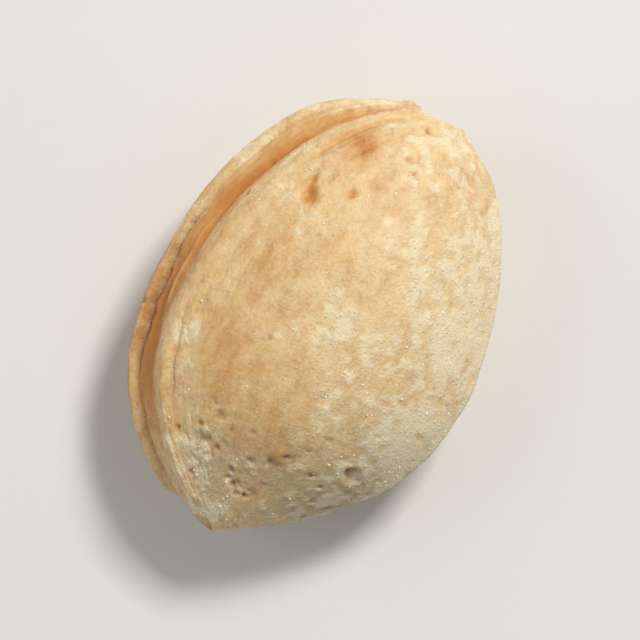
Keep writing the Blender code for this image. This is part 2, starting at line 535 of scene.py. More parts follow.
@dataclass(frozen=True)
class SaltedShell(Finish):
    """Finish of the stone: a dry woody shell, caramel in its furrows, pale where salt has dried on it.

    It reads the masks that the relief keeps on the mesh.
    """

    NAME = "salted_shell"

    caramel: Colour = display_colour(208, 154, 88)
    tan: Colour = display_colour(229, 189, 126)
    furrow: Colour = display_colour(196, 124, 50)
    deep_furrow: Colour = display_colour(104, 60, 30)
    dirt: Colour = display_colour(120, 98, 70)
    salt: Colour = display_colour(244, 225, 180)
    crumb: Colour = display_colour(252, 242, 216)
    # Painted shade, with some dust: the drab colour that darkens the cheeks towards the beak, where
    # they slope away from the light.
    shade: Colour = display_colour(138, 127, 92)
    bare_roughness: float = 0.5
    salted_roughness: float = 0.68
    gloss: float = 0.5
    powder_rise: float = 0.055
    flake_share: float = 0.28
    crumb_share: float = 0.25
    crumb_span: float = 0.27
    crumb_size: Zone = Zone(0.45, 1.0)
    crumb_wall: Zone = Zone(0.12, 0.3)
    powder: Noise = Noise(0.17, 4.0, 1.0)
    powder_on_wood: float = 0.3
    powder_on_salt: float = 0.5
    powder_in_grey: float = 0.3
    powder_in_salt: float = 0.36
    grey_share: float = 0.6
    cover_share: float = 0.82
    crust_share: float = 0.14
    cover_edge: Zone = Zone(0.02, 1.0)
    blotches: Noise = Noise(0.75, 5.0, 2.0, 0.32)
    blotch_edges: Warp = Warp(0.9, 0.3)
    roughening: Noise = Noise(0.5, 5.0, 3.0, 0.5)
    grain: Noise = Noise(0.8, 5.0, 5.0)
    grain_edges: Warp = Warp(1.6, 0.5)
    grain_stretch: Stretch = (0.35, 1.0, 1.0)
    grain_zone: Zone = Zone(-0.4, 0.4)
    specks: Noise = Noise(0.32, 3.0, 8.0)
    speck_zone: Zone = Zone(0.3, 0.6, 0.35)
    deep_zone: Zone = Zone(0.0, 1.0)
    grime: Noise = Noise(0.4, 5.0, 21.0)
    grime_zone: Zone = Zone(0.0, 0.8, 0.45)
    mottle: Noise = Noise(0.55, 4.0, 24.0)
    mottle_edges: Warp = Warp(0.5, 0.2)
    mottle_zone: Zone = Zone(0.08, 0.5, 0.3)

    def dress(self, sheet: Sheet, surface: bpy.types.Node) -> None:
        """Colours, roughens and embosses the shell.

        Args:
            sheet: The material's tree.
            surface: Its shader.
        """
        place = self.place(sheet)
        powder = self.powder.at(place)
        coat = self.coat(sheet, place, powder)
        crumbs = self.crumbs(sheet, place) * coat
        # Dust and painted shade, laid over the cheeks towards the beak.
        dust_and_painted_shade = self.mask(sheet, "dust_and_painted_shade") * (powder * self.powder_in_grey + self.grey_share)
        grime = self.grime_zone.rise(self.grime.at(place))
        mottle = self.mottle_zone.rise(self.mottle.at(self.mottle_edges.of(place)))
        flakes = self.mask(sheet, "crust") * self.flake_share
        white = flakes + mottle * coat + crumbs * self.crumb_share
        colour = sheet.mix(coat, self.wood(sheet, place), self.salt)
        colour = sheet.mix(dust_and_painted_shade, colour, self.shade)
        colour = sheet.mix(grime, colour, self.dirt)
        powdered = powder * (coat * self.powder_on_salt + self.powder_on_wood)
        height = self.roughening.at(place) + powdered + crumbs
        relief = {"Distance": self.powder_rise * MM, "Height": height}
        sheet.feed(
            surface,
            {
                "Base Color": sheet.mix(white, colour, self.crumb),
                "Roughness": coat * (self.salted_roughness - self.bare_roughness) + self.bare_roughness,
                "Normal": sheet.field("ShaderNodeBump", {}, relief),
                "Specular IOR Level": self.gloss,
            },
        )

    def wood(self, sheet: Sheet, place: Field) -> Field:
        """The bare shell's colour, with its grain, its furrows and its dark specks.

        Args:
            sheet: The material's tree.
            place: Each point's place.

        Returns:
            The colour.
        """
        grain = self.grain.at(self.grain_edges.of(place).times(self.grain_stretch))
        wood = sheet.mix(self.grain_zone.rise(grain), self.caramel, self.tan)
        wood = sheet.mix(self.mask(sheet, "furrow"), wood, self.furrow)
        specks = self.speck_zone.rise(self.specks.at(place))
        dark = self.deep_zone.rise(self.mask(sheet, "deep") + specks)
        return sheet.mix(dark, wood, self.deep_furrow)

    def coat(self, sheet: Sheet, place: Field, powder: Field) -> Field:
        """How much salt covers the shell, with ragged edges and more of it in the fine hollows.

        Args:
            sheet: The material's tree.
            place: Each point's place.
            powder: The fine grain of the salt.

        Returns:
            The cover, from 0 to 1.
        """
        blotches = self.blotches.at(self.blotch_edges.of(place))
        cover = self.mask(sheet, "salt") * self.cover_share
        crust = self.mask(sheet, "crust") * self.crust_share
        return self.cover_edge.rise(cover + crust + blotches - powder * self.powder_in_salt)

    def crumbs(self, sheet: Sheet, place: Field) -> Field:
        """Fine crumbs of salt, one in some of the cells of a close pattern."""
        size = self.crumb_size.rise(sheet.cells(place, self.crumb_span, "Color").parts()[0])
        return self.crumb_wall.fall(sheet.cells(place, self.crumb_span)) * size

    @staticmethod
    def mask(sheet: Sheet, name: str) -> Field:
        """One of the masks that the relief keeps on the mesh."""
        settings = {"attribute_name": name, "attribute_type": "GEOMETRY"}
        return sheet.field("ShaderNodeAttribute", settings, {}, "Fac")


@dataclass(frozen=True)
class SaltCrystal(Finish):
    """Finish of the loose grains: clouded salt, a little warm from the shell's dust."""

    NAME = "salt_crystal"

    clear: Colour = display_colour(250, 242, 226)
    dusty: Colour = display_colour(232, 208, 170)
    dust: Noise = Noise(0.6, 3.0, 6.0)
    dust_zone: Zone = Zone(-0.5, 0.5)
    roughness: float = 0.42

    def dress(self, sheet: Sheet, surface: bpy.types.Node) -> None:
        """Clouds the salt with dust, from grain to grain.

        Args:
            sheet: The material's tree.
            surface: Its shader.
        """
        share = self.dust_zone.rise(self.dust.at(self.place(sheet)))
        colour = sheet.mix(share, self.clear, self.dusty)
        sheet.feed(surface, {"Base Color": colour, "Roughness": self.roughness})


@dataclass(frozen=True)
class PaperFloor(Finish):
    """Finish of the floor: pale matt paper."""

    NAME = "pale_paper"

    colour: Colour = (0.8, 0.79, 0.77, 1.0)
    roughness: float = 0.9

    def dress(self, sheet: Sheet, surface: bpy.types.Node) -> None:
        """Makes the floor evenly pale and matt."""
        sheet.feed(surface, {"Base Color": self.colour, "Roughness": self.roughness})


@dataclass(frozen=True)
class StoneBody:
    """The plain lens-shaped body that the relief stands on, with its keel line at +Y."""

    length: float = 26.0
    solid_length: float = 26.1
    keel_side: Taper = Taper(8.95, -0.3, 1.9, 0.47, 2.8, 0.76)
    back_side: Taper = Taper(8.85, 0.3, 1.4, 0.42, 2.6, 1.08)
    upper_cheek: Taper = Taper(5.9, 0.9, 2.0, 0.5, 2.2, 0.78)
    lower_cheek: Taper = Taper(5.7, 0.5, 2.0, 0.5, 2.2, 0.8)
    keel_bluntness: float = 0.52
    back_bluntness: float = 0.72
    keel_zone: float = 7.0
    keel_zone_share: float = 0.62
    crowding: float = 2.4
    beak_evenness: float = 0.45
    rings: int = 236
    points_round: int = 400
    section_steps: int = 400

    def half_section(self, x: float, cheek: Cheek) -> tuple[np.ndarray, np.ndarray, np.ndarray]:
        """The section at x over one cheek, from the keel line to the back edge.

        Args:
            x: The section's place along the stone.
            cheek: The cheek that it runs over.

        Returns:
            The points' y and z, and their distances from the keel line along the section.
        """
        half_length = self.length / 2
        angles = np.linspace(0.0, np.pi, self.section_steps)
        turned = (1 - np.cos(angles)) / 2
        bluntness = self.keel_bluntness + (self.back_bluntness - self.keel_bluntness) * turned
        sides = (self.keel_side.at(x, half_length), self.back_side.at(x, half_length))
        y = np.where(np.cos(angles) > 0, *sides) * np.cos(angles)
        taper = self.upper_cheek if cheek is Cheek.UPPER else self.lower_cheek
        z = taper.at(x, half_length) * np.clip(np.sin(angles), 0.0, 1.0) ** (2 * bluntness)
        steps = np.hypot(np.diff(y), np.diff(z))
        return y, cheek.value * z, np.concatenate(([0.0], np.cumsum(steps)))

    def crowd(self, girth: float) -> float:
        """How near the folds lie in a section of this girth, from 1 at the widest to 0 at the ends."""
        widest = self.half_section(0.0, Cheek.UPPER)[2][-1]
        return (1 - math.exp(-self.crowding * girth / widest)) / (1 - math.exp(-self.crowding))

    def half_ring(self, x: float, cheek: Cheek, shares: np.ndarray) -> np.ndarray:
        """Points of one section over one cheek.

        Args:
            x: The section's place along the stone.
            cheek: The cheek that it runs over.
            shares: Each point's share of the way round from the keel line to the back edge.

        Returns:
            A row for each point: x, y, z, its distance from the keel line as the widest section has
            it, how near the folds lie, and its distance from the back edge.
        """
        y, z, distances = self.half_section(x, cheek)
        crowd = self.crowd(distances[-1])
        zone = self.keel_zone * crowd
        rest = (shares - self.keel_zone_share) / (1 - self.keel_zone_share)
        beyond = zone + (distances[-1] - zone) * rest
        reach = np.where(shares < self.keel_zone_share, zone * shares / self.keel_zone_share, beyond)
        rows = np.empty((len(shares), 6))
        rows[:, 0] = x
        rows[:, 1] = np.interp(reach, distances, y)
        rows[:, 2] = np.interp(reach, distances, z)
        rows[:, 3] = cheek.value * reach / crowd
        rows[:, 4] = crowd
        rows[:, 5] = distances[-1] - reach
        return rows

    def stations(self) -> np.ndarray:
        """Where the rings lie along the stone, closer at the ends, and more even towards the beak."""
        heights = np.cos(np.pi * np.arange(1, self.rings) / self.rings)
        even = np.arcsin(heights) / (np.pi / 2)
        blend = np.where(heights < 0, self.beak_evenness, 0.0)
        return (heights + (even - heights) * blend) * self.length / 2

    def mesh(self, scale: float) -> bpy.types.Mesh:
        """Builds the closed body, with what its relief needs to know at each point.

        Args:
            scale: Metres for each millimetre of these sizes.

        Returns:
            The mesh, with the attributes reach, crowd and back.
        """
        half = self.points_round // 2
        rising = np.arange(half) / half
        rings = [
            np.vstack(
                (
                    self.half_ring(x, Cheek.UPPER, rising),
                    self.half_ring(x, Cheek.LOWER, 1 - rising),
                )
            )
            for x in self.stations()
        ]
        stalk = [self.length / 2, 0, 0, 0, 0, 0]
        beak = [-self.length / 2, 0, 0, 0, 0, 0]
        rows = np.vstack((*rings, stalk, beak))
        mesh = bpy.data.meshes.new("plain_body")
        mesh.from_pydata(rows[:, :3] * scale, [], self.faces(len(rings)))
        mesh.shade_smooth()
        for column, name in ((3, "reach"), (4, "crowd"), (5, "back")):
            mesh.attributes.new(name, "FLOAT", "POINT").data.foreach_set("value", rows[:, column])
        return mesh

    def faces(self, rings: int) -> list[tuple[int, ...]]:
        """The faces between the rings, and the fans that close the two ends.

        Args:
            rings: How many rings there are.

        Returns:
            Each face's points, outward.
        """
        count = self.points_round
        stalk = rings * count
        turns = [(point, (point + 1) % count) for point in range(count)]
        sides = [
            (ring * count + b, ring * count + a, (ring + 1) * count + a, (ring + 1) * count + b)
            for ring in range(rings - 1)
            for a, b in turns
        ]
        last = (rings - 1) * count
        stalk_fan = [(stalk, a, b) for a, b in turns]
        beak_fan = [(stalk + 1, last + b, last + a) for a, b in turns]
        return sides + stalk_fan + beak_fan


@dataclass(frozen=True)
class Ground:
    """What the relief knows about each point of the plain body, in millimetres.

    Reach is the distance from the keel line. Line is the same distance, wandering a little, and
    waves is one that waves more. Fibre runs along the keel, and ragged frays edges.
    """

    tree: GeometryTree
    place: Field
    x: Field
    y: Field
    z: Field
    reach: Field
    line: Field
    waves: Field
    crowd: Field
    upper: Field
    fibre: Field
    ragged: Field

    def stained(self, stains: Sequence[Stain]) -> Field:
        """What some patches of the upper cheek add up to at each point."""
        return sum(stain.shown((self.x, self.y, self.z)) for stain in stains) * self.upper


@dataclass(frozen=True)
class Survey:
    """The noises by which each point's place among the folds and fibres is read."""

    wander: Noise = Noise(3.0, 1.0, 1.0, 0.16)
    fine_wander: Noise = Noise(0.9, 2.0, 16.0, 0.05)
    wander_zone: Zone = Zone(0.3, 1.5)
    waves: Noise = Noise(1.6, 2.0, 18.0, 0.22)
    upper_zone: Zone = Zone(-0.4, 0.4)
    fibre: Noise = Noise(0.75, 3.0, 26.0)
    fibre_stretch: Stretch = (0.25, 1.9, 9.0)
    fibre_zone: Zone = Zone(3.0, 7.0)
    ragged: Noise = Noise(0.9, 4.0, 23.0)

    def ground(self, tree: GeometryTree) -> Ground:
        """Reads each point of the plain body.

        Args:
            tree: The relief's tree.

        Returns:
            What is known about each point.
        """
        place = tree.field("GeometryNodeInputPosition", {}, {}).scaled(1 / tree.given("Unit"))
        x, y, z = place.parts()
        signed = tree.attribute("reach")
        reach = abs(signed)
        wander = self.wander.at(place) + self.fine_wander.at(place)
        line = reach + wander * self.wander_zone.rise(reach)
        upper = self.upper_zone.rise(signed)
        laid = tree.field("ShaderNodeCombineXYZ", {}, {0: x, 1: line, 2: upper})
        return Ground(
            tree=tree,
            place=place,
            x=x,
            y=y,
            z=z,
            reach=reach,
            line=line,
            waves=reach + self.waves.at(place),
            crowd=tree.attribute("crowd"),
            upper=upper,
            fibre=self.fibre.at(laid.times(self.fibre_stretch)) * self.fibre_zone.fall(line),
            ragged=self.ragged.at(place),
        )


@dataclass(frozen=True)
class KeelFolds:
    """The keel ridge, and the furrows, ridges, crack and seams beside it."""

    blade: Fold = Fold(1.0, 0.0, 0.42, -12.15, 2.0, 0.5, 5.0, 1.6)
    band: Fold = Fold(1.0, 0.0, 0.92, -3.0, 13.0, 5.0, 3.5, 1.5)
    wide_furrow: Fold = Fold(0.7, 1.45, 0.95, -12.6, 2.5, 8.0, 5.5, 2.0, 0.4)
    thin_furrow: Fold = Fold(0.88, 2.0, 0.78, -3.5, 12.9, 8.0, 1.4)
    short_furrow: Fold = Fold(0.34, 4.65, 0.28, 6.3, 12.6, 2.0, 1.2, 1.7)
    faint_furrow: Fold = Fold(0.13, 6.2, 0.28, 7.2, 12.4, 2.0, 1.5, 1.7)
    shoulder: Fold = Fold(0.36, 3.4, 0.8, -12.9, 12.8, 2.5, 1.6, 1.5, 1.0)
    rib: Fold = Fold(0.2, 5.4, 0.38, 6.5, 12.6, 3.0, 1.2, 1.5)
    furrow_rib: Fold = Fold(0.3, 1.85, 0.25, -5.5, 4.0, 4.0, 3.0, 1.5)
    crack: Fold = Fold(-0.28, 0.4, 0.12, -9.0, 5.0, 3.0, 3.0, 1.6, 0.45)
    seams: tuple[Fold, ...] = (
        Fold(-0.16, 0.75, 0.11, 2.5, 12.4, 3.0, 2.0),
        Fold(-0.2, 0.5, 0.12, -12.2, -7.0, 1.0, 2.5),
        Fold(-0.16, 4.05, 0.13, -8.5, -3.0, 2.0, 2.5),
    )
    chips: Noise = Noise(1.1, 3.0, 14.0)
    chip_zone: Zone = Zone(0.2, 0.7, 0.25)
    split: Noise = Noise(2.5, 2.0, 17.0, 0.1)
    split_depth: float = 0.1
    split_band: Band = Band(0.0, 0.08)
    unevenness: Noise = Noise(2.0, 2.0, 15.0, 0.2)

    def furrowed(self, at: Ground) -> Field:
        """The depth of the furrows beside the keel ridge, before the tree's own Furrow Depth."""
        furrows = (self.wide_furrow, self.thin_furrow, self.short_furrow, self.faint_furrow)
        return sum(furrow.height(at.x, at.line) for furrow in furrows)

    def height(self, at: Ground) -> Field:
        """The height of the keel ridge and all its folds.

        Args:
            at: What is known about each point.

        Returns:
            The height.
        """
        keel = self.blade.height(at.x, at.reach) + self.band.height(at.x, at.reach)
        chips = self.chip_zone.rise(self.chips.at(at.place))
        split = self.split_band.of(at.reach) * (self.split.at(at.place) + self.split_depth)
        ridges = sum(f.height(at.x, at.line) for f in (self.shoulder, self.rib, self.furrow_rib))
        return (
            keel * (1 - chips) * at.tree.given("Keel Rise")
            - self.furrowed(at) * at.tree.given("Furrow Depth")
            + ridges * (self.unevenness.at(at.place) + 1)
            + self.crack.height(at.x, at.waves) * at.upper
            + sum(seam.height(at.x, at.waves) for seam in self.seams)
            - split * keel
        )


@dataclass(frozen=True)
class StalkScar:
    """The pit that the stalk left, its low lip, and the short ribs that run out from it."""

    floor: float = 0.7
    radius: float = 1.25
    depth: float = 0.5
    lip: Band = Band(1.6, 0.4)
    lip_rise: float = 0.26
    roughness: Noise = Noise(0.8, 3.0, 19.0)
    pit_roughness: float = 0.12
    lip_roughness: float = 0.1
    rays: float = 9.0
    ray_ring: Band = Band(3.0, 1.1, 0.07)
    ray_sway: Noise = Noise(2.0, 2.0, 20.0, 0.5)
    stalk_half: Zone = Zone(0.0, 2.0)

    def height(self, at: Ground) -> Field:
        """The scar's height.

        Args:
            at: What is known about each point.

        Returns:
            The height.
        """
        rough = self.roughness.at(at.place)
        radius = at.tree.math("SQRT", at.y * at.y + at.z * at.z) + rough * self.pit_roughness
        hollow = Zone(self.floor, self.radius).fall(radius)
        pit = hollow * (rough * self.pit_roughness - self.depth)
        lip = self.lip.of(radius) * (rough * self.lip_roughness + self.lip_rise)
        angle = at.tree.math("ARCTAN2", at.y, at.z) + self.ray_sway.at(at.place)
        rays = at.tree.math("SINE", angle * self.rays) * self.ray_ring.of(radius)
        return (pit + lip + rays) * self.stalk_half.rise(at.x)


@dataclass(frozen=True)
class BackEdge:
    """The low welt along the back edge, with the fine line in it where the shell's halves meet."""

    welt: Band = Band(0.0, 0.55, 0.14)
    line: Band = Band(0.0, 0.1, 0.13)
    beak_end: Zone = Zone(-12.6, -11.0)
    stalk_end: Zone = Zone(11.0, 12.6)

    def height(self, at: Ground) -> Field:
        """The edge's height.

        Args:
            at: What is known about each point.

        Returns:
            The height.
        """
        back = at.tree.attribute("back")
        shown = self.beak_end.rise(at.x) * self.stalk_end.fall(at.x)
        return (self.welt.of(back) - self.line.of(back)) * shown


@dataclass(frozen=True)
class Pitting:
    """Small pits, thick towards the beak and thin elsewhere, and patches where the shell is worn."""

    span: float = 0.8
    edges: Warp = Warp(0.5, 0.2)
    beak: Zone = Zone(-10.5, -4.0, 0.26)
    clusters: Noise = Noise(3.5, 1.0, 8.0, 0.2)
    chosen: Zone = Zone(0.9, 1.0)
    wall: Zone = Zone(0.08, 0.36)
    worn_edges: Warp = Warp(0.6, 0.3)
    worn_hollows: Noise = Noise(0.75, 4.0, 25.0)
    worn_wall: Zone = Zone(0.0, 0.35)
    worn: tuple[Stain, ...] = (
        Stain(-7.7, 3.3, 1.2, 1.0),
        Stain(-10.0, -0.4, 1.0, 1.0),
        Stain(-9.3, 2.2, 1.2, 0.7),
        Stain(-6.6, -5.2, 0.9, 0.9),
        Stain(10.6, 0.3, 1.0, 0.5),
    )

    def depth(self, at: Ground) -> Field:
        """How deep each point lies in a small pit or a worn patch.

        Args:
            at: What is known about each point.

        Returns:
            The share of the full depth.
        """
        warped = self.edges.of(at.place)
        crowded = self.beak.fall(at.x) + self.clusters.at(at.place)
        chosen = self.chosen.rise(at.tree.cells(warped, self.span, "Color").parts()[1] + crowded)
        pits = self.wall.fall(at.tree.cells(warped, self.span)) * chosen
        worn = self.worn_wall.rise(self.worn_hollows.at(self.worn_edges.of(at.place)))
        return pits.at_least(worn * at.stained(self.worn))


@dataclass(frozen=True)
class Texture:
    """The shell's own unevenness: swells, wrinkles, veins, dimples and grit."""

    swells: tuple[Noise, ...] = (Noise(6.0, 1.0, 2.0, 0.11), Noise(2.4, 2.0, 3.0, 0.06))
    wrinkles: Noise = Noise(0.9, 3.0, 4.0, 0.6)
    wrinkle_stretch: Stretch = (1.6, 0.45, 0.45)
    wrinkled_keel: Zone = Zone(3.4, 5.5, 1.1)
    wrinkled_cheek: float = 0.35
    fibre_share: float = 2.0
    streaks: Noise = Noise(1.0, 2.0, 7.0, 0.5)
    streak_stretch: Stretch = (0.3, 1.3, 1.0)
    dents: Warp = Warp(0.9, 0.2)
    veins: Noise = Noise(2.4, 1.0, 21.0)
    vein_stretch: Stretch = (0.35, 1.0, 1.0)
    vein_wall: Zone = Zone(0.0, 0.06, 0.6)
    dimple_span: float = 1.2
    dimple_wall: Zone = Zone(0.05, 0.6)
    grit: Noise = Noise(0.42, 4.0, 22.0)

    def height(self, at: Ground) -> Field:
        """The unevenness's height.

        Args:
            at: What is known about each point.

        Returns:
            The height.
        """
        by_keel = self.wrinkled_keel.fall(at.line) + self.wrinkled_cheek
        wrinkles = self.wrinkles.at(at.place.times(self.wrinkle_stretch)) * by_keel
        streaks = self.streaks.at(at.place.times(self.streak_stretch))
        dented = self.dents.of(at.place)
        veins = self.vein_wall.fall(abs(self.veins.at(dented.times(self.vein_stretch))))
        sizes = at.tree.cells(dented, self.dimple_span, "Color").parts()[0]
        dimples = self.dimple_wall.fall(at.tree.cells(dented, self.dimple_span)) * sizes
        lines = wrinkles + at.fibre * self.fibre_share + streaks - veins
        return (
            sum(swell.at(at.place) for swell in self.swells)
            + lines * at.tree.given("Wrinkle Depth")
            - dimples * at.tree.given("Dimple Depth")
            + self.grit.at(at.place) * at.tree.given("Grit Height")
        )


@dataclass(frozen=True)
class SaltCover:
    """Where salt has dried on the shell: most towards the back and the stalk end."""

    level: float = 0.38
    blotches: tuple[Noise, ...] = (Noise(4.2, 2.0, 10.0, 0.22), Noise(1.3, 3.0, 11.0, 0.34))
    back: Zone = Zone(-8.0, 7.0, 0.3)
    stalk_end: Zone = Zone(-3.0, 12.0, 0.1)
    washing: float = 1.25
    fibre_share: float = 0.3
    patches: Noise = Noise(1.0, 4.0, 27.0, 0.9)
    patch_level: float = 0.8
    edge: Band = Band(4.6, 0.9, 0.25)
    edge_stretch: Band = Band(-5.5, 3.0)
    ridge: Zone = Zone(3.0, 9.0, 0.2)
    crest: Band = Band(0.6, 0.8, 0.28)
    crest_stretch: Zone = Zone(0.0, 6.0)
    bare_reach: float = 1.1
    bare_share: float = 0.5
    crust_edges: Warp = Warp(0.7, 0.25)
    crust_flakes: Noise = Noise(0.7, 5.0, 9.0, 0.6)
    crust_edge: Zone = Zone(0.66, 0.76)
    stains: tuple[Stain, ...] = (
        Stain(-3.8, 4.5, 1.7, -0.3),
        Stain(-3.9, 6.3, 1.0, 0.3),
        Stain(0.2, 3.4, 1.7, -0.18),
        Stain(4.3, 3.4, 1.2, 0.15),
        Stain(3.2, 0.7, 1.5, -0.2),
        Stain(7.0, 0.8, 1.6, -0.18),
        Stain(9.4, 3.0, 0.9, -0.5),
        Stain(-6.4, 0.9, 2.3, -0.28),
        Stain(-0.4, -0.6, 1.8, 0.24),
        Stain(-4.2, -1.8, 1.3, 0.14),
        Stain(-9.9, 3.1, 1.7, 0.38),
        # Painted light: extra salt that lightens the beak tip, where it slopes away from the key light.
        Stain(-12.0, 0.9, 1.1, 0.25),
        Stain(-4.0, -6.6, 2.0, 0.25),
        Stain(2.2, -7.0, 2.0, 0.18),
    )

    def share(self, at: Ground, folds: KeelFolds) -> Field:
        """How much salt has dried at each point.

        Args:
            at: What is known about each point.
            folds: The folds, whose furrows are washed bare.

        Returns:
            The salt's cover, from about 0 to 1.
        """
        dusted = (
            self.edge.of(at.line) * self.edge_stretch.of(at.x)
            + folds.shoulder.profile(at.x, at.line) * self.ridge.rise(at.x)
            + self.crest.of(at.reach) * self.crest_stretch.rise(at.x)
        )
        return (
            sum(blotch.at(at.place) for blotch in self.blotches)
            + self.back.fall(at.y)
            + self.stalk_end.rise(at.x)
            + at.stained(self.stains)
            - folds.furrowed(at) * self.washing
            + dusted * (self.patches.at(at.place) + self.patch_level)
            - at.fibre * self.fibre_share
            + self.level
        )

    def crust(self, at: Ground, salt: Field) -> Field:
        """Where the salt is thick enough to stand up as a crust, from 0 to 1."""
        return self.crust_edge.rise(salt + self.crust_flakes.at(self.crust_edges.of(at.place)))

    def on_show(self, at: Ground, salt: Field, blemishes: Mapping[Blemish, Field]) -> Field:
        """The salt's cover with the bare floors of the pits taken out.

        Args:
            at: What is known about each point.
            salt: The salt's cover.
            blemishes: The distance from each blemish.

        Returns:
            The cover, from 0 to 1.
        """
        bare = sum(d.bell(0.0, b.radius * self.bare_reach) for b, d in blemishes.items())
        shown = (salt - bare * at.upper * self.bare_share).at_least(0.0)
        return at.tree.math("MINIMUM", shown, 1.0)


@dataclass(frozen=True)
class BareShell:
    """Where the shell shows its own colours, warm brown or dark, and where dust and painted shade dull
    it towards the beak.
    """

    full_brown: Zone = Zone(0.0, 1.05)
    thin_fade: Zone = Zone(6.0, 10.0, 0.45)
    wide_share: float = 0.6
    fine_share: float = 0.3
    rib_share: float = 0.6
    flank_start: Zone = Zone(0.3, 0.7, 0.35)
    flank_end: Zone = Zone(2.0, 2.7)
    beside: Band = Band(2.0, 1.2, 0.14)
    blade: Band = Band(0.3, 0.8, 0.7)
    blade_stretch: Band = Band(-2.5, 4.5)
    ragged_share: float = 0.4
    fibre_share: float = 0.5
    patch_level: float = 0.9
    pit_share: float = 0.75
    seam_share: float = 0.7
    smear: Warp = Warp(0.8, 0.45)
    rust_raggedness: float = 0.9
    rust_level: float = 0.95
    rust: tuple[Stain, ...] = (
        Stain(9.5, 2.6, 0.75, 1.0),
        Stain(-7.6, -1.5, 1.5, 0.65),
        Stain(-4.6, 0.6, 2.2, 0.2),
    )
    wide_floor: Band = Band(0.6, 0.4, 0.2)
    wide_level: float = 0.8
    thin_floor: Band = Band(4.5, 3.5, 0.3)
    thin_level: float = 0.4
    thin_sharpness: float = 4.0
    split: Noise = Noise(2.5, 2.0, 17.0)
    split_band: Band = Band(0.0, 0.1, 0.6)
    split_zone: Zone = Zone(-0.5, 0.5)
    dark_patches: Noise = Noise(1.6, 3.0, 12.0, 0.35)
    dark_level: float = 0.7
    crack_share: float = 0.6
    hole_share: float = 0.6
    slant: float = 0.45
    slant_waves: Noise = Noise(3.4, 3.0, 13.0, 2.0)
    grey_slant: Zone = Zone(-12.0, -2.5)
    grey_tip: Zone = Zone(-13.0, -8.0)
    grey_cheek: Zone = Zone(2.5, 6.5)

    def brown(self, at: Ground, folds: KeelFolds, blemishes: Mapping[Blemish, Field]) -> Field:
        """Where the shell shows its warm brown: in the furrows, the pits, the seams and the rust.

        Args:
            at: What is known about each point.
            folds: The folds beside the keel.
            blemishes: The distance from each blemish.

        Returns:
            The mask, from 0 to 1.
        """
        fine = sum(f.profile(at.x, at.line) for f in (folds.short_furrow, folds.faint_furrow))
        flank = self.flank_start.rise(at.line) * self.flank_end.fall(at.line)
        furrows = (
            folds.thin_furrow.profile(at.x, at.line) * (1 - self.thin_fade.rise(at.x))
            + folds.wide_furrow.profile(at.x, at.line) * self.wide_share
            + fine * self.fine_share
            + flank * folds.wide_furrow.shown(at.x)
            + self.beside.of(at.line)
            - folds.furrow_rib.profile(at.x, at.line) * self.rib_share
            + self.blade.of(at.reach) * self.blade_stretch.of(at.x)
        )
        patchy = at.ragged * self.ragged_share + at.fibre * self.fibre_share + self.patch_level
        smeared = self.smear.of(at.place).parts()
        ragged = at.ragged * self.rust_raggedness + self.rust_level
        rust = sum(stain.shown(smeared) for stain in self.rust) * ragged
        pits = sum(b.hollow(d) for b, d in blemishes.items() if b.depth > 0) * self.pit_share
        seams = sum(seam.profile(at.x, at.waves) for seam in folds.seams) * self.seam_share
        return self.full_brown.rise(furrows * patchy + (pits + rust) * at.upper + seams)

    def deep(self, at: Ground, folds: KeelFolds, pits: Field) -> Field:
        """Where the shell is dark: the floors of the furrows, the cracks and the small pits.

        Args:
            at: What is known about each point.
            folds: The folds beside the keel.
            pits: The small pits.

        Returns:
            The mask, from 0 to 1.
        """
        thin = folds.thin_furrow.profile(at.x, at.line) ** self.thin_sharpness
        floors = (
            self.wide_floor.of(at.line) * folds.wide_furrow.shown(at.x) * (at.fibre + self.wide_level)
            + thin * self.thin_floor.of(at.x) * (at.fibre + self.thin_level)
            + self.split_band.of(at.reach) * self.split_zone.rise(self.split.at(at.place))
        )
        crack = folds.crack.profile(at.x, at.waves) * at.upper * self.crack_share
        patchy = self.dark_patches.at(at.place) + self.dark_level
        return floors * patchy + crack + pits * self.hole_share

    def dust_and_painted_shade(self, at: Ground) -> Field:
        """Where the shell turns drab towards the beak: partly dust, partly painted shade where the
        cheek slopes away from the light.

        Args:
            at: What is known about each point.

        Returns:
            The mask, from 0 to 1.
        """
        slanting = at.x + at.y * self.slant + self.slant_waves.at(at.place)
        beak = self.grey_slant.fall(slanting) * self.grey_tip.rise(at.x)
        return beak * self.grey_cheek.rise(at.line)


